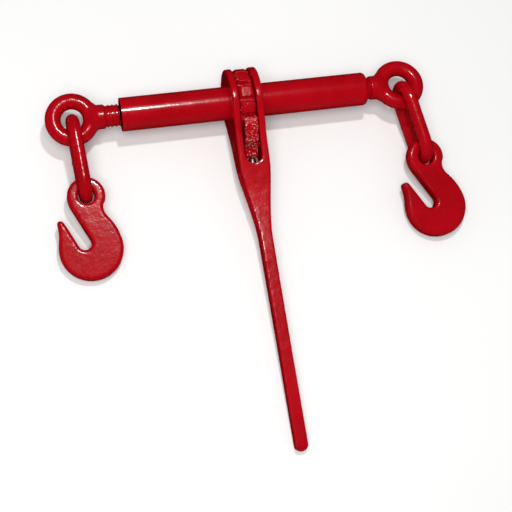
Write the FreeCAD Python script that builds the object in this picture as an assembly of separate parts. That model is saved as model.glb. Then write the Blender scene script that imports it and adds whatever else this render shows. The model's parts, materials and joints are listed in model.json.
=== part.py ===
import FreeCAD, Part
import math
import os

# Ratchet load binder, lying on its side: +X along the barrel, the handle towards -Y, +Z up.
# All sizes are in millimetres. The work is drawn about the middle of the barrel's axis and is
# moved at the end, so that the origin is under the middle of the whole assembly, on the floor.

# Barrel
barrel_length = 251.6
barrel_radius = 16.7
barrel_chamber_radius = 13.0
barrel_nut_length = 18.0
barrel_end_round = 4.0
thread_bore_radius = 11.05
wiper_bore_radius = 13.6
wiper_length = 5.0

# Ratchet wheel
gear_teeth = 12
gear_tip_radius = 32.6
gear_root_radius = 27.6
gear_width = 15.4
gear_side_chamfer = 3.0
gear_crest_half_angle = 9.4
gear_root_half_angle = 3.0
gear_pin_radius = 2.0

# Handle, a little left of the barrel's middle with its wheel
fork_offset = -3.0
ear_radius = 33.5
ear_bore_radius = 16.75
fork_half_width = 15.5
slot_half_width = 8.5
slot_end = 68.0
handle_length = 352.0
shank_half_width = 6.2
shank_end_half_depth = 6.0
side_recess_depth = 1.8

# Pawl and its spring
pawl_pivot_distance = 46.0
pawl_half_width = 6.45
pawl_swing = 10.5
pawl_claw_offset = 45.0
pawl_hub_radius = 9.2
pawl_pin_radius = 4.75
plunger_radius = 4.0
plunger_bore_end = 94.0
plunger_nose = 59.6
plunger_length = 18.0
spring_wire_radius = 0.6
spring_coil_radius = 3.0
spring_turns = 8

# Eye screws
eye_centre_radius = 18.5
eye_wire_radius = 7.85
eye_hole_radius = 10.85
eye_to_boss_end = 32.4
boss_radius = 12.1
boss_length = 8.0
shank_radius = 10.0
plain_shank_length = 8.0
thread_radius = 11.0
screw_length = 156.8
spigot_radius = 7.0
collar_length = 5.0
collar_radius = 12.7
left_eye_x = -173.8
right_eye_x = 162.2
left_eye_turn = 11.0
right_eye_turn = 0.0

# Connecting links
link_wire_radius = 6.4
link_inner_length = 63.6
link_inner_width = 20.4
left_link_play = 3.1
right_link_play = 0.2
link_reach = link_inner_length + link_wire_radius - eye_wire_radius
left_link_lean = 2.7
right_link_lean = 10.3

# Grab hooks, drawn flat with the centre of the hole at the origin
hook_thickness = 15.0
hook_hole_radius = 8.2
hook_mouth_round = 2.5
hook_eye_radius = 18.6
hook_heel_distance = 51.5
hook_heel_radius = 31.1
hook_size = 0.972
hook_slack = -0.3
hook_edge_round = 3.4
left_hook_lean = -0.4
right_hook_lean = 5.5


def vec(x, y, z=0.0):
    return FreeCAD.Vector(x, y, z)


def cylinder_x(radius, start, end):
    """A round bar along X."""
    return Part.makeCylinder(radius, end - start, vec(start, 0, 0), vec(1, 0, 0))


def turned(shape, axis, degrees, centre=None):
    """A copy of the shape, turned about an axis through a point."""
    copy = shape.copy()
    copy.rotate(centre or vec(0, 0, 0), axis, degrees)
    return copy


def moved(shape, x, y, z):
    copy = shape.copy()
    copy.translate(vec(x, y, z))
    return copy


def arc_edge(a, b, c):
    return Part.Arc(a, b, c).toShape()


def line_edge(a, b):
    return Part.LineSegment(a, b).toShape()


def curve_edge(points, start_tangent=None, end_tangent=None):
    curve = Part.BSplineCurve()
    if start_tangent:
        curve.interpolate(Points=points, InitialTangent=start_tangent, FinalTangent=end_tangent)
    else:
        curve.interpolate(points)
    return curve.toShape()


def face_from(edges):
    return Part.Face(Part.Wire(Part.__sortEdges__(edges)))


def revolved_about_x(profile):
    """A solid of revolution about X from (x, radius) corners."""
    corners = [vec(x, r, 0) for x, r in profile]
    wire = Part.makePolygon(corners + corners[:1])
    return Part.Face(wire).revolve(vec(0, 0, 0), vec(1, 0, 0), 360)


def make_barrel():
    half = barrel_length / 2
    body = cylinder_x(barrel_radius, -half, half)
    rim = [e for e in body.Edges if e.Length < 120 and e.CenterOfMass.x > half - 0.1]
    body = body.makeFillet(barrel_end_round, rim)
    chamber_end = half - wiper_length - barrel_nut_length
    body = body.cut(cylinder_x(barrel_chamber_radius, -chamber_end, chamber_end))
    body = body.cut(cylinder_x(thread_bore_radius, -half - 1, half + 1))
    body = body.cut(cylinder_x(wiper_bore_radius, -half - 1, -half + wiper_length))
    body = body.cut(cylinder_x(wiper_bore_radius, half - wiper_length, half + 1))
    return body.cut(make_gear_pins())


def make_gear_pins():
    """Two drive pins through the wheel's root into the barrel wall."""
    first = Part.makeCylinder(gear_pin_radius, 13.6, vec(0, 0, 13.8), vec(0, 0, 1))
    angle = gear_valley_angle()
    pins = [turned(first, vec(1, 0, 0), angle), turned(first, vec(1, 0, 0), angle + 180)]
    return moved(Part.makeCompound(pins), fork_offset, 0, 0)


def gear_valley_angle():
    """The angle about X, from +Z, of a valley at the back, four teeth from the front claw's."""
    return claw_angle() + 360.0 / gear_teeth * 4


def claw_angle():
    """The angle about X, from +Z towards -Y, of the valley that the front claw drops into."""
    return 90.0 + handle_drop() - pawl_claw_offset


def handle_drop():
    """How far the handle dips below level, with its ears and its tip on the floor."""
    return math.degrees(math.asin((ear_radius - shank_end_half_depth) / (handle_length - 5.0)))


def make_gear():
    step = 360.0 / gear_teeth
    corners = []
    for tooth in range(gear_teeth):
        middle = tooth * step + step / 2
        for offset, radius in ((-step / 2 + gear_root_half_angle, gear_root_radius),
                               (-gear_crest_half_angle, gear_tip_radius),
                               (gear_crest_half_angle, gear_tip_radius),
                               (step / 2 - gear_root_half_angle, gear_root_radius)):
            a = math.radians(middle + offset)
            corners.append(vec(-gear_width / 2, -radius * math.sin(a), radius * math.cos(a)))
    wire = Part.makePolygon(corners + corners[:1])
    wheel = Part.Face(wire).extrude(vec(gear_width, 0, 0))
    half = gear_width / 2
    flat = half - gear_side_chamfer
    low = gear_tip_radius - gear_side_chamfer
    blank = revolved_about_x([(-half, 0), (-half, low), (-flat, gear_tip_radius),
                              (flat, gear_tip_radius), (half, low), (half, 0)])
    wheel = wheel.common(blank)
    wheel = wheel.cut(cylinder_x(barrel_radius, -half - 1, half + 1))
    wheel = moved(turned(wheel, vec(1, 0, 0), claw_angle()), fork_offset, 0, 0)
    return wheel.cut(make_gear_pins())


def in_handle_place(shape):
    """From the handle's own drawing, along -Y and level, to its place with its tip on the floor."""
    return moved(turned(shape, vec(1, 0, 0), handle_drop()), fork_offset, 0, 0)


def handle_side_outline():
    """The handle from the side: the ears, the deep fork and the long shank."""
    tangent_angle = math.radians(63)
    top = vec(-fork_half_width, -ear_radius * math.cos(tangent_angle), ear_radius * math.sin(tangent_angle))
    slope = vec(0, -math.sin(tangent_angle), -math.cos(tangent_angle))
    flank = [(-42.0, 18.6), (-62.0, 14.4), (-95.0, 9.5), (-150.0, 7.8)]
    end_y = -handle_length + shank_end_half_depth
    last = vec(-fork_half_width, end_y, shank_end_half_depth)
    points = [top] + [vec(-fork_half_width, y, z) for y, z in flank] + [last]
    upper = curve_edge(points, slope, vec(0, -1, -0.005))
    mirror = upper.mirror(vec(0, 0, 0), vec(0, 0, 1))
    tip = arc_edge(last, vec(-fork_half_width, -handle_length, 0), vec(-fork_half_width, end_y, -last.z))
    low = vec(top.x, top.y, -top.z)
    ring = arc_edge(low, vec(-fork_half_width, ear_radius, 0), top)
    return face_from([ring, upper, tip, mirror])


def handle_front_outline():
    """The handle from the front: parallel fork, taper and slim shank with a rounded tip."""
    w = fork_half_width
    a = vec(-w, ear_radius + 1, 0)
    b = vec(-w, -58, 0)
    c = [(-15.2, -72), (-13.0, -90), (-9.8, -110), (-7.3, -128), (-6.2, -155)]
    end = vec(-shank_half_width, -handle_length + 4.5, 0)
    taper = curve_edge([b] + [vec(x, y, 0) for x, y in c], vec(0, -1, 0), vec(0, -1, 0))
    start = vec(-shank_half_width, -155, 0)
    left = [line_edge(a, b), taper, line_edge(start, end)]
    right = [e.mirror(vec(0, 0, 0), vec(1, 0, 0)) for e in left]
    other = vec(-end.x, end.y, 0)
    tip = arc_edge(end, vec(0, -handle_length, 0), other)
    head = line_edge(a, vec(w, a.y, 0))
    return face_from(left + right + [tip, head])


def make_side_recess():
    """The long hollow on each side of the shank that gives it an I section."""
    points = [(-80, 7.0), (-110, 4.6), (-160, 3.9), (-310, 3.0)]
    upper = curve_edge([vec(0, y, z) for y, z in points])
    lower = upper.mirror(vec(0, 0, 0), vec(0, 0, 1))
    outline = [upper, lower,
               arc_edge(vec(0, -310, 3.0), vec(0, -313, 0), vec(0, -310, -3.0)),
               arc_edge(vec(0, -80, 7.0), vec(0, -73, 0), vec(0, -80, -7.0))]
    return face_from(outline)


def make_handle():
    side = handle_side_outline().extrude(vec(2 * fork_half_width, 0, 0))
    front = moved(handle_front_outline(), 0, 0, -40).extrude(vec(0, 0, 80))
    body = side.common(front)
    body = body.removeSplitter()
    slot = Part.makeBox(2 * slot_half_width, 120, 90, vec(-slot_half_width, -slot_end + slot_half_width, -45))
    slot = slot.fuse(Part.makeCylinder(slot_half_width, 90, vec(0, -slot_end + slot_half_width, -45)))
    body = body.cut(slot)
    body = body.cut(cylinder_x(ear_bore_radius, -30, 30))
    hollow = make_side_recess()
    for side_sign in (-1, 1):
        wall = moved(hollow, side_sign * 30, 0, 0).extrude(vec(-side_sign * 24, 0, 0))
        shell = front_offset_band(side_sign)
        body = body.cut(wall.common(shell))
    body = body.cut(Part.makeCylinder(plunger_radius + 0.05, plunger_bore_end - 40, vec(0, -40, 0), vec(0, -1, 0)))
    body = body.cut(cylinder_x(pawl_pin_radius, -30, 30).translate(vec(0, -pawl_pivot_distance, 0)))
    return in_handle_place(body)


def front_offset_band(side_sign):
    """The outer skin of the shank, as thick as the recess is deep, on one side."""
    outline = handle_front_outline()
    outer = moved(outline, 0, 0, -40).extrude(vec(0, 0, 80))
    inner = moved(outline, -side_sign * side_recess_depth, 0, -40).extrude(vec(0, 0, 80))
    return outer.cut(inner)


def pawl_half_outline():
    """Half of the pawl's outline about its pin, with +Y towards the wheel: claw, back and tail."""
    inner = curve_edge([vec(0, pawl_hub_radius, 0), vec(0, 10.4, 12.0), vec(0, 15.1, 25.3)],
                       vec(0, 0, 1), vec(0, 0.42, 0.91))
    inner_flank = line_edge(vec(0, 15.1, 25.3), vec(0, 21.3, 23.5))
    tip = line_edge(vec(0, 21.3, 23.5), vec(0, 22.5, 25.3))
    outer_flank = line_edge(vec(0, 22.5, 25.3), vec(0, 18.6, 30.0))
    outer = curve_edge([vec(0, 18.6, 30.0), vec(0, 9.0, 26.6), vec(0, -2.5, 14.0), vec(0, -9.0, 4.5)],
                       vec(0, -0.95, 0.1), vec(0, -0.95, -0.3))
    tail = curve_edge([vec(0, -9.0, 4.5), vec(0, -12.6, 2.6), vec(0, -13.4, 0)],
                      vec(0, -0.95, -0.3), vec(0, 0, -1))
    return [inner, inner_flank, tip, outer_flank, outer, tail]


def make_pawl():
    """The double-ended pawl, at rest in its free middle position with both claws off the wheel."""
    half = pawl_half_outline()
    other = [e.mirror(vec(0, 0, 0), vec(0, 0, 1)) for e in half]
    face = face_from(half + other)
    face.translate(vec(-pawl_half_width, 0, 0))
    body = face.extrude(vec(2 * pawl_half_width, 0, 0))
    body = body.cut(cylinder_x(pawl_pin_radius + 0.05, -20, 20))
    return in_handle_place(moved(body, 0, -pawl_pivot_distance, 0))


def make_pawl_pin():
    length = fork_half_width - 0.6
    pin = cylinder_x(pawl_pin_radius, -length, length)
    pin = pin.makeChamfer(0.6, [e for e in pin.Edges if len(e.Vertexes) == 1])
    return in_handle_place(moved(pin, 0, -pawl_pivot_distance, 0))


def make_plunger():
    """The round-nosed plunger behind the pawl's tail."""
    body = Part.makeCylinder(plunger_radius, plunger_length, vec(0, -plunger_nose, 0), vec(0, -1, 0))
    nose = [e for e in body.Edges if abs(e.CenterOfMass.y + plunger_nose) < 0.1]
    return in_handle_place(body.makeFillet(2.6, nose))


def make_spring():
    start = plunger_nose + plunger_length + spring_wire_radius
    length = plunger_bore_end - spring_wire_radius - start
    path = Part.makeHelix(length / spring_turns, length, spring_coil_radius)
    section = Part.Wire(Part.makeCircle(spring_wire_radius, vec(spring_coil_radius, 0, 0), vec(0, 1, 0)))
    coil = Part.Wire(path).makePipeShell([section], True, True)
    coil = turned(coil, vec(1, 0, 0), 90)
    return in_handle_place(moved(coil, 0, -start, 0))


def make_screw(side, x, turn):
    """An eye screw with its eye at x; side is -1 for the left end and 1 for the right end."""
    ring = Part.makeTorus(eye_centre_radius, eye_wire_radius)
    neck = ring.fuse(eye_neck())
    hole = Part.makeCylinder(eye_hole_radius, 40, vec(0, 0, -20))
    neck = neck.cut(hole)
    boss_end = -eye_to_boss_end
    thread_start = boss_end - plain_shank_length
    thread_end = -screw_length + collar_length
    shank = revolved_about_x([(boss_end + 2, 0), (boss_end + 2, shank_radius), (thread_start, shank_radius),
                              (thread_start - 1, thread_radius), (thread_end, thread_radius),
                              (thread_end, spigot_radius), (-screw_length, spigot_radius),
                              (-screw_length, 0)])
    screw = neck.fuse(shank).removeSplitter()
    if side < 0:
        screw = turned(screw, vec(0, 0, 1), 180)
    return moved(turned(screw, vec(1, 0, 0), turn), x, 0, 0)


def eye_neck():
    """The forged neck between the ring and the round boss."""
    sections = []
    for x, half_y, half_z in ((-11.5, 20.6, 5.2), (-18.0, 17.6, 9.2), (-24.0, 13.0, 11.6)):
        oval = Part.Ellipse(vec(0, 0, 0), half_y, half_z).toShape()
        oval = turned(oval, vec(1, 0, 0), 90)
        oval = turned(oval, vec(0, 0, 1), 90)
        sections.append(Part.Wire(moved(oval, x, 0, 0)))
    blend = Part.makeLoft(sections, True, False)
    boss = cylinder_x(boss_radius, -eye_to_boss_end, -eye_to_boss_end + boss_length)
    rim = [e for e in boss.Edges if abs(e.CenterOfMass.x + eye_to_boss_end) < 0.1 and len(e.Vertexes) == 1]
    return blend.fuse(boss.makeFillet(1.2, rim))


def make_collar(side, x):
    """The stop collar pressed on the screw's inner end."""
    end = x - side * screw_length
    start = end if side > 0 else end - collar_length
    return cylinder_x(collar_radius, start, start + collar_length).cut(
        cylinder_x(spigot_radius, start - 1, start + collar_length + 1))


def make_wiper(side):
    """The wiper ring in the barrel's mouth, which the screw turns as it turns."""
    half = barrel_length / 2
    outer = half - 0.5
    inner = half - wiper_length + 0.1
    ring = revolved_about_x([(inner, thread_radius + 0.05), (inner, wiper_bore_radius - 0.05),
                             (outer - 0.8, wiper_bore_radius - 0.05), (outer, wiper_bore_radius - 0.85),
                             (outer, thread_radius + 0.05)])
    if side < 0:
        ring = turned(ring, vec(0, 0, 1), 180)
    return ring


def link_frame(turn, lean, play):
    """The centre of the eye's wire under the link, from the eye's centre, and the slope to the floor.

    The link and the hook slope down together until the hook's rounded heel rests on the floor.
    """
    a = math.radians(turn)
    b = math.radians(lean)
    along = vec(math.sin(b), -math.cos(b) * math.cos(a), -math.cos(b) * math.sin(a))
    centre = along * eye_centre_radius
    run = link_reach - play + hook_slack + hook_heel_distance + hook_heel_radius - hook_edge_round
    drop = ear_radius + centre.z - hook_edge_round
    half_flat = hook_thickness / 2 - hook_edge_round
    slope = math.asin(drop / math.hypot(run, half_flat)) - math.atan2(half_flat, run)
    return centre, math.degrees(slope)


def make_link(eye_x, turn, lean, play):
    bend = link_inner_width / 2 + link_wire_radius
    straight = link_inner_length - link_inner_width
    top = eye_wire_radius + link_wire_radius + play - bend
    upper = Part.makeTorus(bend, link_wire_radius, vec(0, 0, 0), vec(0, 0, 1), -180, 180, 180)
    lower = turned(upper, vec(0, 0, 1), 180)
    limb = Part.makeCylinder(link_wire_radius, straight, vec(bend, 0, 0), vec(0, -1, 0))
    body = upper.fuse([moved(lower, 0, -straight, 0), limb, moved(limb, -2 * bend, 0, 0)])
    body = turned(body.removeSplitter(), vec(0, 1, 0), 90)
    body.translate(vec(0, top, 0))
    centre, slope = link_frame(turn, lean, play)
    body = turned(turned(body, vec(1, 0, 0), slope), vec(0, 0, 1), lean)
    return moved(body, eye_x + centre.x, centre.y, centre.z)


def hook_outline():
    """The grab hook's outline: eye, neck, round heel, point and the narrow throat."""
    across = vec(0.908, 0.42)
    along = vec(-0.42, 0.908)
    throat = vec(-7.2, -47.4) * hook_size
    half_slot = 6.4
    heel = vec(-1.5, -hook_heel_distance)
    heel_radius = hook_heel_radius
    slot_right = throat + across * half_slot
    slot_left = throat - across * half_slot
    slot_bottom = throat - along * half_slot
    shank_top = slot_right + along * 34.0 * hook_size
    point_side = slot_left + along * 21.0 * hook_size
    right = heel + vec(math.cos(math.radians(12)), math.sin(math.radians(12))) * heel_radius
    left = heel + vec(-1, 0) * heel_radius
    bottom = heel + vec(0, -1) * heel_radius
    neck = vec(15.4, -12.9) * hook_size
    cheek = vec(18.2, -3.8)
    eye_left = vec(-hook_eye_radius, 0)
    eye_top = vec(0, hook_eye_radius)
    point = vec(-27.6, -22.4) * hook_size
    flare = vec(-32.0, -25.8) * hook_size
    waist = vec(-31.4, -34.5) * hook_size
    return face_from([
        arc_edge(eye_left, eye_top, cheek),
        curve_edge([cheek, vec(16.6, -8.4) * hook_size, neck], vec(-0.1, -1), vec(-0.05, -1)),
        curve_edge([neck, vec(20.5, -25.0) * hook_size, right], vec(-0.05, -1), vec(0.208, -0.978)),
        arc_edge(right, bottom, left),
        curve_edge([left, waist, flare], vec(0, 1), vec(-0.12, 0.99)),
        curve_edge([flare, vec(-30.6, -22.6) * hook_size, point], vec(-0.12, 0.99), vec(0.95, -0.3)),
        curve_edge([point, vec(-24.6, -25.8) * hook_size, point_side], vec(0.95, -0.3), vec(0.42, -0.908)),
        line_edge(point_side, slot_left),
        arc_edge(slot_left, slot_bottom, slot_right),
        line_edge(slot_right, shank_top),
        curve_edge([shank_top, eye_left], along, vec(0, 1)),
    ])


def make_hook(eye_x, turn, link_lean, play, hook_lean):
    body = moved(hook_outline(), 0, 0, -hook_thickness / 2).extrude(vec(0, 0, hook_thickness))
    rims = [e for e in body.Edges if e.BoundBox.ZLength < 0.01]
    body = body.makeFillet(hook_edge_round, rims)
    body = body.cut(Part.makeCylinder(hook_hole_radius, 40, vec(0, 0, -20)))
    round_length = 2 * math.pi * hook_hole_radius
    mouth = [e for e in body.Edges if abs(e.Length - round_length) < 0.01]
    body = body.makeFillet(hook_mouth_round, mouth)
    slope = link_frame(turn, link_lean, play)[1]
    body = turned(turned(body, vec(1, 0, 0), slope), vec(0, 0, 1), hook_lean)
    place = hook_place(eye_x, turn, link_lean, play)
    return moved(body, place.x, place.y, place.z)


def hook_place(eye_x, turn, link_lean, play):
    """The centre of the hook's hole, just below the link's lower bend."""
    centre, slope = link_frame(turn, link_lean, play)
    a = math.radians(link_lean)
    b = math.radians(slope)
    along = vec(math.sin(a) * math.cos(b), -math.cos(a) * math.cos(b), -math.sin(b))
    return vec(eye_x, 0, 0) + centre + along * (link_reach - play + hook_slack)


def assembly():
    left = (left_eye_x, left_eye_turn)
    right = (right_eye_x, right_eye_turn)
    left_lie = (left_link_lean, left_link_play)
    right_lie = (right_link_lean, right_link_play)
    return {
        "barrel_tube": make_barrel(),
        "ratchet_gear": make_gear(),
        "gear_pins": make_gear_pins(),
        "handle_forging": make_handle(),
        "pawl": make_pawl(),
        "pawl_pin": make_pawl_pin(),
        "pawl_plunger": make_plunger(),
        "pawl_spring": make_spring(),
        "left_eye_screw": make_screw(-1, *left),
        "right_eye_screw": make_screw(1, *right),
        "left_stop_collar": make_collar(-1, left_eye_x),
        "right_stop_collar": make_collar(1, right_eye_x),
        "left_wiper_ring": make_wiper(-1),
        "right_wiper_ring": make_wiper(1),
        "left_link": make_link(*left, *left_lie),
        "right_link": make_link(*right, *right_lie),
        "left_grab_hook": make_hook(*left, *left_lie, left_hook_lean),
        "right_grab_hook": make_hook(*right, *right_lie, right_hook_lean),
    }


def origin_shift(parts):
    """The move that puts the origin under the middle of the assembly."""
    boxes = [shape.optimalBoundingBox(False, False) for shape in parts.values()]
    x = (min(b.XMin for b in boxes) + max(b.XMax for b in boxes)) / 2
    y = (min(b.YMin for b in boxes) + max(b.YMax for b in boxes)) / 2
    z = min(b.ZMin for b in boxes)
    return vec(-x, -y, -z)


def main():
    parts = assembly()
    shift = origin_shift(parts)
    os.makedirs("parts", exist_ok=True)
    for name, shape in parts.items():
        shape.translate(shift)
        shape.exportStep("parts/" + name + ".step")
        print(name, "solids", len(shape.Solids), "valid", shape.isValid(), "volume", round(shape.Volume))
    print("shift", shift.x, shift.y, shift.z)


main()
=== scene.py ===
# %% [markdown]
# # A ratchet load binder
#
# A load binder pulls the chain over a truck's load tight. A lever turns a barrel, the barrel winds in
# two eye screws, and each screw pulls a link and a grab hook. Its parts are forged steel, dipped or
# sprayed in thick red enamel, so the lesson is about forgings: soft edges, slightly uneven faces and
# a glossy coat that breaks every highlight into flecks.
#
# The frame comes first. It holds the bodies, the joints and the exact sizes, and every piece made
# here takes its place from it.

# %% Load the frame
import json
import math

import bpy
from mathutils import Matrix, Vector


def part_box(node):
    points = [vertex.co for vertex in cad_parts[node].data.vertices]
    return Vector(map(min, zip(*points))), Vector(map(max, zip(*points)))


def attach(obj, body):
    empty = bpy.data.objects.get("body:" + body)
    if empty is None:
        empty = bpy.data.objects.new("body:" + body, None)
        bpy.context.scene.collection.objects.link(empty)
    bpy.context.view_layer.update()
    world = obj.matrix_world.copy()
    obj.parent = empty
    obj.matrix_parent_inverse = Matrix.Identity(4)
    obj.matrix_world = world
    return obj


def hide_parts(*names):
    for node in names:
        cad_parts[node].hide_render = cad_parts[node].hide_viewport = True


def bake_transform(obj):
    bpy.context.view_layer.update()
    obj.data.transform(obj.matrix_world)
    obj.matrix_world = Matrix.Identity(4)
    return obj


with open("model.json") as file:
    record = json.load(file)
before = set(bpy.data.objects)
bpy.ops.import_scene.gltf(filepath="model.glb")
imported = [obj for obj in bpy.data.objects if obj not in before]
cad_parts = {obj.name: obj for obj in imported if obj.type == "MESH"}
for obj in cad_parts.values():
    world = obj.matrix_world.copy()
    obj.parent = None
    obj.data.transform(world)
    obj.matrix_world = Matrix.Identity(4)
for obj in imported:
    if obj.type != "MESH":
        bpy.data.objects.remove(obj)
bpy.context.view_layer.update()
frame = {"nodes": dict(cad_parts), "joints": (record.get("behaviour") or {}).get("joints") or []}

MM = 0.001
nodes = frame["nodes"]
joints = {joint["name"]: joint for joint in frame["joints"]}

# %% [markdown]
# ## Places, read from the frame
#
# The barrel's middle is the middle of its own box, and the camera is placed from it. The other places
# come from the joints, where they are needed, so nothing here repeats a place by hand.

# %% Read the barrel's middle
barrel_low, barrel_high = (Vector(corner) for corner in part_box("barrel_tube"))
barrel_middle = (barrel_low + barrel_high) / 2
print("barrel middle", [round(value, 4) for value in barrel_middle])

# %% [markdown]
# ## Colours and the node helper
#
# Colours are picked as hex values, as on a screen, and Blender wants them linear, so one function
# turns them. One more small function adds a shader node, sets it and links it.

# %% Colour and node helpers


def hex_colour(text):
    """sRGB hex to linear RGBA."""
    values = [int(text[i:i + 2], 16) / 255 for i in (1, 3, 5)]
    linear = [v / 12.92 if v <= 0.04045 else ((v + 0.055) / 1.055) ** 2.4 for v in values]
    return (*linear, 1.0)


def add_node(material, kind, settings=None, inputs=None):
    """Adds one node. A setting is an attribute; an input is a value, or a socket to link from."""
    node = material.node_tree.nodes.new(kind)
    for key, value in (settings or {}).items():
        setattr(node, key, value)
    for key, value in (inputs or {}).items():
        if isinstance(value, bpy.types.NodeSocket):
            material.node_tree.links.new(value, node.inputs[key])
        else:
            node.inputs[key].default_value = value
    return node


def new_material(name):
    material = bpy.data.materials.new(name)
    material.use_nodes = True
    return material, material.node_tree.nodes["Principled BSDF"]


def ramp(material, factor, stops):
    """A colour ramp with (position, grey or colour) stops."""
    node = add_node(material, "ShaderNodeValToRGB", inputs={"Fac": factor})
    elements = node.color_ramp.elements
    while len(elements) < len(stops):
        elements.new(0.5)
    for element, (position, colour) in zip(elements, stops):
        element.position = position
        element.color = colour if isinstance(colour, tuple) else (colour, colour, colour, 1.0)
    return node.outputs["Color"]


# %% [markdown]
# ## Red enamel over forged steel
#
# The real coat is a thick glossy alkyd enamel over scale-pitted forged steel. The coat follows the
# pits, so the eye sees a highlight broken into flecks. It varies a little in depth and has small dark
# chips. The colour is a deep signal red. The pits are about 2 mm across on a forging, and wider and
# shallower on the drawn barrel tube, so one recipe makes both. The wheel and the pawl were dipped as
# forged; on them pale flecks are painted into the coat's colour as painted highlights, glints on the rough
# coat.

# %% The enamel recipe


def red_enamel(name, pit_mm, pit_height_mm, pit_strength, glint_share=0.0):
    """The coat over pits of one size; the last argument, from 0 to 1, sets how much painted highlight, as
    pale glint flecks in the base colour, it carries.
    """
    material, shader = new_material(name)
    place = add_node(material, "ShaderNodeTexCoord").outputs["Object"]
    broad = add_node(material, "ShaderNodeTexNoise", inputs={
        "Vector": place, "Scale": 1 / (38 * MM), "Detail": 3.0, "Roughness": 0.6})
    pits = add_node(material, "ShaderNodeTexNoise", inputs={
        "Vector": place, "Scale": 1 / (pit_mm * MM), "Detail": 2.5, "Roughness": 0.55})
    swell = add_node(material, "ShaderNodeTexNoise", inputs={
        "Vector": place, "Scale": 1 / (9 * MM), "Detail": 2.0})
    chips = add_node(material, "ShaderNodeTexVoronoi", {"feature": "F1"}, {
        "Vector": place, "Scale": 1 / (7.5 * MM), "Randomness": 1.0})
    tint = ramp(material, broad.outputs["Fac"], [
        (0.30, hex_colour("#9E000B")), (0.52, hex_colour("#AC0010")), (0.74, hex_colour("#B40212"))])
    chip_mask = ramp(material, chips.outputs["Distance"], [(0.035, 1.0), (0.06, 0.0)])
    painted = add_node(material, "ShaderNodeMix", {"data_type": "RGBA"}, {
        "Factor": chip_mask, "A": tint, "B": hex_colour("#7A0A10")})
    colour = painted.outputs["Result"]
    gloss = ramp(material, pits.outputs["Fac"], [(0.25, 0.26), (0.55, 0.17), (0.8, 0.30)])
    links = material.node_tree.links
    # Pale flecks mixed into the base colour: painted highlights, glints standing in for light on the rough
    # coat.
    if glint_share:
        glint_noise = add_node(material, "ShaderNodeTexNoise", inputs={
            "Vector": place, "Scale": 1 / (1.3 * MM), "Detail": 1.0})
        glint_edge = 0.72 - 0.12 * glint_share
        glint_mask = ramp(material, glint_noise.outputs["Fac"], [(glint_edge, 0.0), (glint_edge + 0.03, 1.0)])
        wear_and_glints = add_node(material, "ShaderNodeMix", {"data_type": "RGBA"}, {
            "Factor": glint_mask, "A": colour, "B": hex_colour("#D9D2CA")})
        colour = wear_and_glints.outputs["Result"]
    bump_fine = add_node(material, "ShaderNodeBump", inputs={
        "Height": pits.outputs["Fac"], "Strength": pit_strength, "Distance": pit_height_mm * MM})
    bump_broad = add_node(material, "ShaderNodeBump", inputs={
        "Height": swell.outputs["Fac"], "Strength": 0.5, "Distance": 0.30 * MM,
        "Normal": bump_fine.outputs["Normal"]})
    links.new(colour, shader.inputs["Base Color"])
    links.new(gloss, shader.inputs["Roughness"])
    links.new(bump_broad.outputs["Normal"], shader.inputs["Normal"])
    shader.inputs["IOR"].default_value = 1.5
    shader.inputs["Coat Weight"].default_value = 0.5
    shader.inputs["Coat Roughness"].default_value = 0.05
    return material


forging_enamel = red_enamel("red_enamel_on_forging", 2.0, 0.14, 0.6)
tube_enamel = red_enamel("red_enamel_on_tube", 2.4, 0.09, 0.6)
# The last argument sets the painted highlight flecks: a few on the wheel's worn coat, many on the pawl's
# rough coat.
worn_enamel_painted_glints = red_enamel("worn_red_enamel_painted_glints", 1.8, 0.25, 0.8, glint_share=0.05)
rough_enamel_painted_glints = red_enamel("rough_red_enamel_painted_glints", 1.5, 0.40, 1.0, glint_share=0.65)
print("enamels", forging_enamel.name, tube_enamel.name, worn_enamel_painted_glints.name, rough_enamel_painted_glints.name)

# %% [markdown]
# ## Bare steel, spring steel and nylon
#
# The screw threads run in grease, so they keep no paint: the eye sees dark steel, blotched by old
# grease. The plunger, the pins in the wheel and the stop collars are plain oiled steel, a little
# lighter, and the spring is drawn wire, smoother and bluer. One recipe makes all three. The wiper rings
# are moulded black nylon: matt, with a trace of dust, so they read as dark lines at the barrel's ends.

# %% The metals and the nylon


def oiled_steel(name, light, dark, roughness, grain_mm):
    material, shader = new_material(name)
    place = add_node(material, "ShaderNodeTexCoord").outputs["Object"]
    grain = add_node(material, "ShaderNodeTexNoise", inputs={
        "Vector": place, "Scale": 1 / (grain_mm * MM), "Detail": 4.0, "Roughness": 0.65})
    tint = ramp(material, grain.outputs["Fac"], [(0.35, hex_colour(dark)), (0.65, hex_colour(light))])
    low, high = roughness
    gloss = ramp(material, grain.outputs["Fac"], [(0.3, high), (0.7, low)])
    bump = add_node(material, "ShaderNodeBump", inputs={
        "Height": grain.outputs["Fac"], "Strength": 0.3, "Distance": 0.1 * MM})
    links = material.node_tree.links
    links.new(tint, shader.inputs["Base Color"])
    links.new(gloss, shader.inputs["Roughness"])
    links.new(bump.outputs["Normal"], shader.inputs["Normal"])
    shader.inputs["Metallic"].default_value = 1.0
    return material


greased_thread = oiled_steel("greased_thread_steel", "#6A675F", "#23211D", (0.30, 0.55), 3.0)
plain_steel = oiled_steel("oiled_plain_steel", "#9A9893", "#5B5954", (0.28, 0.45), 4.0)
spring_steel = oiled_steel("spring_steel", "#8A8D92", "#4A4C50", (0.22, 0.38), 2.0)


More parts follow.
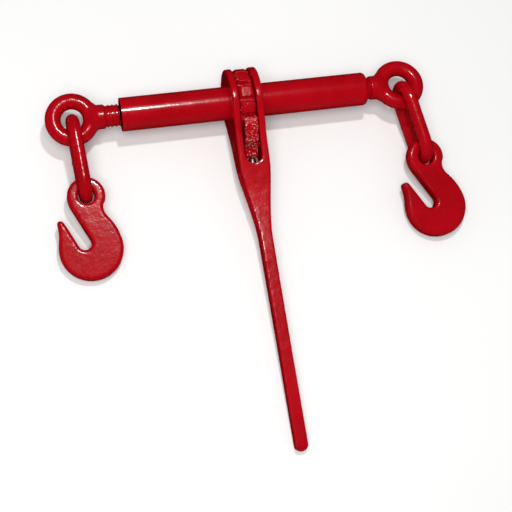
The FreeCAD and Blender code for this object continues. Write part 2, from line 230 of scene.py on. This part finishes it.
def black_nylon():
    material, shader = new_material("moulded_black_nylon")
    place = add_node(material, "ShaderNodeTexCoord").outputs["Object"]
    dust = add_node(material, "ShaderNodeTexNoise", inputs={
        "Vector": place, "Scale": 1 / (4 * MM), "Detail": 3.0})
    tint = ramp(material, dust.outputs["Fac"], [(0.4, hex_colour("#141416")), (0.7, hex_colour("#2B2A2A"))])
    gloss = ramp(material, dust.outputs["Fac"], [(0.3, 0.45), (0.7, 0.65)])
    material.node_tree.links.new(tint, shader.inputs["Base Color"])
    material.node_tree.links.new(gloss, shader.inputs["Roughness"])
    return material


nylon = black_nylon()

# %% [markdown]
# ## Finishes on the frame's own pieces
#
# Every piece of the frame gets its finish here. Those that are kept as they are, and not replaced
# further on, are the barrel tube, the pins, the plunger, the collars and the wiper rings: turned and
# drawn pieces, whose exact shape is already right.

# %% Give every CAD node its finish
finishes = {
    "barrel_tube": tube_enamel, "ratchet_gear": forging_enamel, "gear_pins": plain_steel,
    "handle_forging": forging_enamel, "pawl": forging_enamel, "pawl_pin": forging_enamel,
    "pawl_plunger": plain_steel, "pawl_spring": spring_steel,
    "left_eye_screw": forging_enamel, "right_eye_screw": forging_enamel,
    "left_stop_collar": plain_steel, "right_stop_collar": plain_steel,
    "left_wiper_ring": nylon, "right_wiper_ring": nylon,
    "left_link": tube_enamel, "right_link": tube_enamel,
    "left_grab_hook": forging_enamel, "right_grab_hook": forging_enamel,
}
for node_name, finish in finishes.items():
    mesh = nodes[node_name].data
    mesh.materials.clear()
    mesh.materials.append(finish)
print("finished", len(finishes), "nodes")

# %% [markdown]
# ## How a forging gets its skin
#
# A drop forging has no sharp edge: the hot steel rounds every corner, the die leaves faces a little
# uneven, and thick enamel softens them once more. A bevel on each edge would look machined. Instead
# the machined shape is copied, its loose triangles are merged, and a voxel remesh makes one even
# skin, which can be smoothed as if the corners were worn. Last, a cloud pattern pushes the skin in
# and out by a tenth or two of a millimetre, as scale pits and paint runs do.

# %% Helpers for pieces


def only(piece):
    """Selects one piece and nothing else."""
    bpy.ops.object.select_all(action="DESELECT")
    piece.select_set(True)
    bpy.context.view_layer.objects.active = piece


def apply_modifier(piece, name, kind, **settings):
    only(piece)
    modifier = piece.modifiers.new(name, kind)
    for key, value in settings.items():
        setattr(modifier, key, value)
    bpy.ops.object.modifier_apply(modifier=modifier.name)


def edit_all(piece):
    """Opens edit mode with everything selected."""
    only(piece)
    bpy.ops.object.mode_set(mode="EDIT")
    bpy.ops.mesh.select_all(action="SELECT")


def uneven(piece, name, lump_mm, height_mm):
    """Pushes the skin in and out along its normals, as scale and thick paint do."""
    clouds = bpy.data.textures.new(name, "CLOUDS")
    clouds.noise_scale = lump_mm * MM
    clouds.noise_depth = 2
    apply_modifier(piece, name, "DISPLACE", texture=clouds, texture_coords="LOCAL",
                   strength=height_mm * MM, mid_level=0.5)


def copy_of(node_name, piece_name):
    """A copy of a frame piece, with its loose triangles merged into one closed mesh."""
    piece = bpy.data.objects.new(piece_name, nodes[node_name].data.copy())
    bpy.context.scene.collection.objects.link(piece)
    edit_all(piece)
    bpy.ops.mesh.remove_doubles(threshold=0.002 * MM)
    bpy.ops.mesh.normals_make_consistent(inside=False)
    bpy.ops.object.mode_set(mode="OBJECT")
    return piece


def forge_skin(piece, voxel_mm, passes, lump_mm, height_mm):
    """One even skin, smoothed the given number of times, then made slightly uneven."""
    apply_modifier(piece, "skin", "REMESH", mode="VOXEL", voxel_size=voxel_mm * MM)
    apply_modifier(piece, "wear_and_glints", "SMOOTH", factor=0.5, iterations=passes)
    uneven(piece, piece.name + "_scale", lump_mm, height_mm)
    only(piece)
    bpy.ops.object.shade_smooth()


def settle(piece, finish, body, *replaced, slot="red_enamel"):
    """Gives a piece its finish, its body, and the frame pieces that it stands for."""
    piece.data.materials.clear()
    piece.data.materials.append(finish)
    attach(piece, body)
    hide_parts(*replaced)
    print(piece.name, len(piece.data.polygons), "faces")


# %% [markdown]
# ## The handle
#
# One forging from the two ears to the tip of the lever. The rims of the ears are well rounded, the
# fork's floor is a half round, and the shank has a long hollow in each side. The hollow is under two
# millimetres deep, so the skin is made of fine voxels and smoothed only a little.

# %% Handle
handle = copy_of("handle_forging", "handle_skin")
forge_skin(handle, voxel_mm=0.9, passes=10, lump_mm=7.0, height_mm=0.22)
settle(handle, forging_enamel, "handle", "handle_forging")

# %% [markdown]
# ## The ratchet wheel and the pawl
#
# Both work dry. The wheel's crests are blunt, its side chamfers are soft and its coat is slightly worn,
# with a few painted highlights as pale glint flecks in its colour. The pawl is a curved double claw with a
# rough back, its sparkle painted as many pale glint flecks in its colour.

# %% Wheel and pawl
wheel = copy_of("ratchet_gear", "ratchet_wheel_skin")
forge_skin(wheel, voxel_mm=0.55, passes=8, lump_mm=3.0, height_mm=0.25)
settle(wheel, worn_enamel_painted_glints, "barrel", "ratchet_gear")

pawl_piece = copy_of("pawl", "pawl_skin")
forge_skin(pawl_piece, voxel_mm=0.5, passes=8, lump_mm=2.0, height_mm=0.40)
# The pawl's enamel carries many painted highlight flecks.
settle(pawl_piece, rough_enamel_painted_glints, "pawl", "pawl")

# %% [markdown]
# ## The spring behind the plunger
#
# The small coil sits in the handle's bore and pushes the plunger out. When the plunger goes in, the
# coil has to shorten; here it is copied as it stands at rest, smoothed and given spring steel.

# %% Spring
coil = copy_of("pawl_spring", "spring_coil")
only(coil)
bpy.ops.object.shade_smooth_by_angle(angle=math.radians(40))
coil.data.materials.clear()
coil.data.materials.append(spring_steel)

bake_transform(coil)
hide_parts("pawl_spring")
print(coil.name, len(coil.data.polygons), "faces")

# %% [markdown]
# ## The two links
#
# Each link is bent from round bar and closed by a flash weld in the middle of one limb. The weld
# leaves a low ring round the bar. A torus of the bar's own radius makes the ring; remeshed together
# with the link it melts into the bar.

# %% Links
BAR_RADIUS = 6.4
HALF_OPENING = 10.2
WELD_RADIUS = 1.0


def weld_ring(place, way):
    """The raised ring that a flash weld leaves round the bar."""
    turn = Vector(way).to_track_quat("Z", "Y").to_euler()
    bpy.ops.object.select_all(action="DESELECT")
    bpy.ops.mesh.primitive_torus_add(location=place, rotation=turn, major_segments=48, minor_segments=12,
                                     major_radius=BAR_RADIUS * MM, minor_radius=WELD_RADIUS * MM)
    only(bpy.context.object)
    bpy.ops.object.transform_apply()
    return bpy.context.object


for side in ("left", "right"):
    low, high = (Vector(corner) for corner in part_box(side + "_link"))
    eye = Vector(joints[side + "_link_swing"]["pos_m"])
    hook_hole = Vector(joints[side + "_hook_swing"]["pos_m"])
    way = (hook_hole - eye).normalized()
    normal = Vector(joints[side + "_hook_swing"]["axis"])
    middle = (low + high) / 2
    limb = middle - normal * (HALF_OPENING + BAR_RADIUS) * MM
    link = copy_of(side + "_link", side + "_link_bar")
    ring = weld_ring(limb, way)
    bpy.ops.object.select_all(action="DESELECT")
    ring.select_set(True)
    link.select_set(True)
    bpy.context.view_layer.objects.active = link
    bpy.ops.object.join()
    forge_skin(link, voxel_mm=0.55, passes=6, lump_mm=5.0, height_mm=0.22)
    settle(link, tube_enamel, side + "_link", side + "_link")

# %% [markdown]
# ## The grab hooks
#
# A grab hook is a flat forging: its rim is a broad round, and its throat holds one chain link on
# edge. The rim is smoothed more than the other forgings, for a soft band of light all round it.

# %% Hooks
for side in ("left", "right"):
    hook = copy_of(side + "_grab_hook", side + "_hook_skin")
    forge_skin(hook, voxel_mm=0.65, passes=13, lump_mm=6.0, height_mm=0.14)
    settle(hook, forging_enamel, side + "_hook", side + "_grab_hook")

# %% [markdown]
# ## The eye screws
#
# Each screw is an eye forged on a threaded bar. The eye takes the forging skin. The thread is cut:
# 4.233 mm of pitch, right-handed on the right and left-handed on the left, so that one turn of the
# barrel draws both in. It is made as a core bar with a ridge wound round it by the Screw modifier.
# Its first few turns are under paint; the rest, which runs in the barrel, is bare and greasy.

# %% Screw threads
PITCH = 4.233333
CORE_RADIUS = 9.2
CREST_RADIUS = 10.95
ROOT_RADIUS = CORE_RADIUS - 0.6  # inside the core, so that no gap shows
ROOT_HALF_WIDTH = 1.95
CREST_HALF_WIDTH = 0.55
BOSS_END = 32.4  # this and the next are measured from the eye's middle
THREAD_END = 151.6
PAINTED_LENGTH = 14.5
FILLED_RADIUS = 10.2  # where thick paint fills the roots
THREAD_OVERLAP = 1.0  # how far the thread starts inside the eye's boss
EYE_OVERLAP = 0.4  # how far the eye's skin runs past the boss, on to the thread


def wound_ridge(start, length, side):
    """A ridge with a blunt crest, wound about the screw's own line from start towards the barrel."""
    bpy.ops.object.select_all(action="DESELECT")
    bpy.ops.mesh.primitive_plane_add(size=1.0, location=(0, 0, 0))
    ridge = bpy.context.object
    corners = ((-ROOT_HALF_WIDTH, ROOT_RADIUS), (ROOT_HALF_WIDTH, ROOT_RADIUS),
               (-CREST_HALF_WIDTH, CREST_RADIUS), (CREST_HALF_WIDTH, CREST_RADIUS))
    for vertex, (along, radius) in zip(ridge.data.vertices, corners):
        vertex.co = Vector((along, 0, radius)) * MM
    turns = int(length / PITCH)
    apply_modifier(ridge, "wind", "SCREW", axis="X", angle=2 * math.pi, steps=32, render_steps=32,
                   screw_offset=PITCH * MM, iterations=turns, use_normal_calculate=True)
    edit_all(ridge)
    bpy.ops.mesh.remove_doubles(threshold=0.001 * MM)
    bpy.ops.mesh.select_all(action="DESELECT")
    bpy.ops.mesh.select_non_manifold(extend=False)
    bpy.ops.mesh.fill()
    bpy.ops.mesh.select_all(action="SELECT")
    bpy.ops.mesh.normals_make_consistent(inside=False)
    bpy.ops.object.mode_set(mode="OBJECT")
    if side == "left":
        ridge.scale = (1, -1, 1)  # a mirror turns the right-hand thread into a left-hand one
    first = start.x if side == "left" else start.x - turns * PITCH * MM
    ridge.location = (first, start.y, start.z)
    only(ridge)
    bpy.ops.object.transform_apply()
    return ridge


def round_bar(start, way, length_mm, radius_mm):
    """A bar along the screw's line with its ends bevelled; way is 1 or -1 along X."""
    bpy.ops.object.select_all(action="DESELECT")
    middle = start + Vector((way * length_mm / 2 * MM, 0, 0))
    bpy.ops.mesh.primitive_cylinder_add(vertices=64, radius=radius_mm * MM, depth=length_mm * MM,
                                        location=middle, rotation=(0, math.pi / 2, 0))
    bar = bpy.context.object
    only(bar)
    bpy.ops.object.transform_apply()
    apply_modifier(bar, "ends", "BEVEL", width=0.6 * MM, segments=2)
    return bar


def thread_of(side):
    eye = Vector(joints[side + "_link_swing"]["pos_m"])
    inward = 1 if side == "left" else -1
    start = eye + Vector((inward * (BOSS_END - THREAD_OVERLAP) * MM, 0, 0))
    length_mm = THREAD_END - BOSS_END
    ridge = wound_ridge(start, length_mm, side)
    filled = round_bar(start, inward, PAINTED_LENGTH, FILLED_RADIUS)
    core = round_bar(start, inward, length_mm, CORE_RADIUS)
    core.name = side + "_screw_thread"
    ridge.select_set(True)
    filled.select_set(True)
    bpy.ops.object.join()
    edit_all(core)
    bpy.ops.mesh.normals_make_consistent(inside=False)
    bpy.ops.object.mode_set(mode="OBJECT")
    bpy.ops.object.shade_smooth_by_angle(angle=math.radians(40))
    settle(core, greased_thread, side + "_screw", side + "_eye_screw", slot="bare_steel")
    core.data.materials.append(tube_enamel)
    for face in core.data.polygons:
        if abs(face.center.x - start.x) < PAINTED_LENGTH * MM + 0.0005:
            face.material_index = 1
    return core


for side in ("left", "right"):
    thread_of(side)

# %% Eyes
for side in ("left", "right"):
    eye = Vector(joints[side + "_link_swing"]["pos_m"])
    inward = 1 if side == "left" else -1
    piece = copy_of(side + "_eye_screw", side + "_eye_skin")
    edit_all(piece)
    cut = eye + Vector((inward * (BOSS_END + EYE_OVERLAP) * MM, 0, 0))
    bpy.ops.mesh.bisect(plane_co=cut, plane_no=(inward, 0, 0), use_fill=True, clear_outer=True)
    bpy.ops.object.mode_set(mode="OBJECT")
    forge_skin(piece, voxel_mm=0.6, passes=10, lump_mm=5.0, height_mm=0.18)
    settle(piece, forging_enamel, side + "_screw", side + "_eye_screw")

# %% [markdown]
# ## Floor, light and camera
#
# A pale seamless floor, a small bright lamp high behind the barrel, which draws the thin highlight
# along it, and a broad sky light in front. The floor, the sky light and the air are kept out of glossy
# reflections, as a black ceiling would do, so the enamel stays deep red. The camera looks down on the
# binder from slightly left of and slightly below its middle.

# %% Floor
bpy.ops.object.select_all(action="DESELECT")
bpy.ops.mesh.primitive_plane_add(size=12.0, location=(0, 0, -0.0005))
floor = bpy.context.object
floor.name = "studio_floor"
floor_material, floor_shader = new_material("pale_paper_floor")
paper = add_node(floor_material, "ShaderNodeTexNoise", inputs={
    "Vector": add_node(floor_material, "ShaderNodeTexCoord").outputs["Object"], "Scale": 3.0})
paper_tint = ramp(floor_material, paper.outputs["Fac"], [
    (0.3, hex_colour("#F4F4F3")), (0.7, hex_colour("#F8F8F7"))])
floor_material.node_tree.links.new(paper_tint, floor_shader.inputs["Base Color"])
floor_shader.inputs["Roughness"].default_value = 0.9
floor.data.materials.append(floor_material)
floor.visible_glossy = False

# %% Light
scene = bpy.context.scene
world = bpy.data.worlds.new("studio_air")
scene.world = world
world.use_nodes = True
world.node_tree.nodes["Background"].inputs["Color"].default_value = (1.0, 1.0, 1.0, 1.0)
world.node_tree.nodes["Background"].inputs["Strength"].default_value = 0.35
world.cycles_visibility.glossy = False


def add_softbox(name, place, aim, size, power):
    bpy.ops.object.light_add(type="AREA", location=place)
    lamp = bpy.context.object
    lamp.name = name
    lamp.data.shape = "DISK"
    lamp.data.size = size
    lamp.data.energy = power
    lamp.rotation_euler = (Vector(place) - Vector(aim)).to_track_quat("Z", "Y").to_euler()
    return lamp


add_softbox("key_light", place=(0.0, 0.26, 1.25), aim=(0, 0, 0), size=0.07, power=5.0)
sky_light = add_softbox("sky_light", place=(-0.35, -0.42, 1.55), aim=(0, 0, 0), size=0.9, power=15.0)
sky_light.visible_glossy = False

# %% Camera
CAMERA_YAW = 11.044
CAMERA_PITCH = 15.235
CAMERA_ROLL = -10.508
CAMERA_DISTANCE = 1.11768
CAMERA_AIM = (-0.017761, -0.161663, 0.0)
CAMERA_LENS_MM = 81.22

yaw, pitch, roll = (math.radians(v) for v in (CAMERA_YAW, CAMERA_PITCH, CAMERA_ROLL))
back = Vector((-math.sin(yaw) * math.cos(pitch), -math.sin(pitch), math.cos(yaw) * math.cos(pitch)))
right = Vector((0, 1, 0)).cross(back).normalized()
up = back.cross(right)
rolled_right = right * math.cos(roll) + up * math.sin(roll)
rolled_up = up * math.cos(roll) - right * math.sin(roll)
bpy.ops.object.camera_add()
camera = bpy.context.object
camera.name = "studio_camera"
camera_place = barrel_middle + Vector(CAMERA_AIM) + back * CAMERA_DISTANCE
camera.matrix_world = (Matrix.Translation(camera_place)
                       @ Matrix((rolled_right, rolled_up, back)).transposed().to_4x4())
camera.data.sensor_width = 36.0
camera.data.lens = CAMERA_LENS_MM
camera.data.clip_end = 50.0
scene.camera = camera
scene.view_settings.view_transform = "Standard"
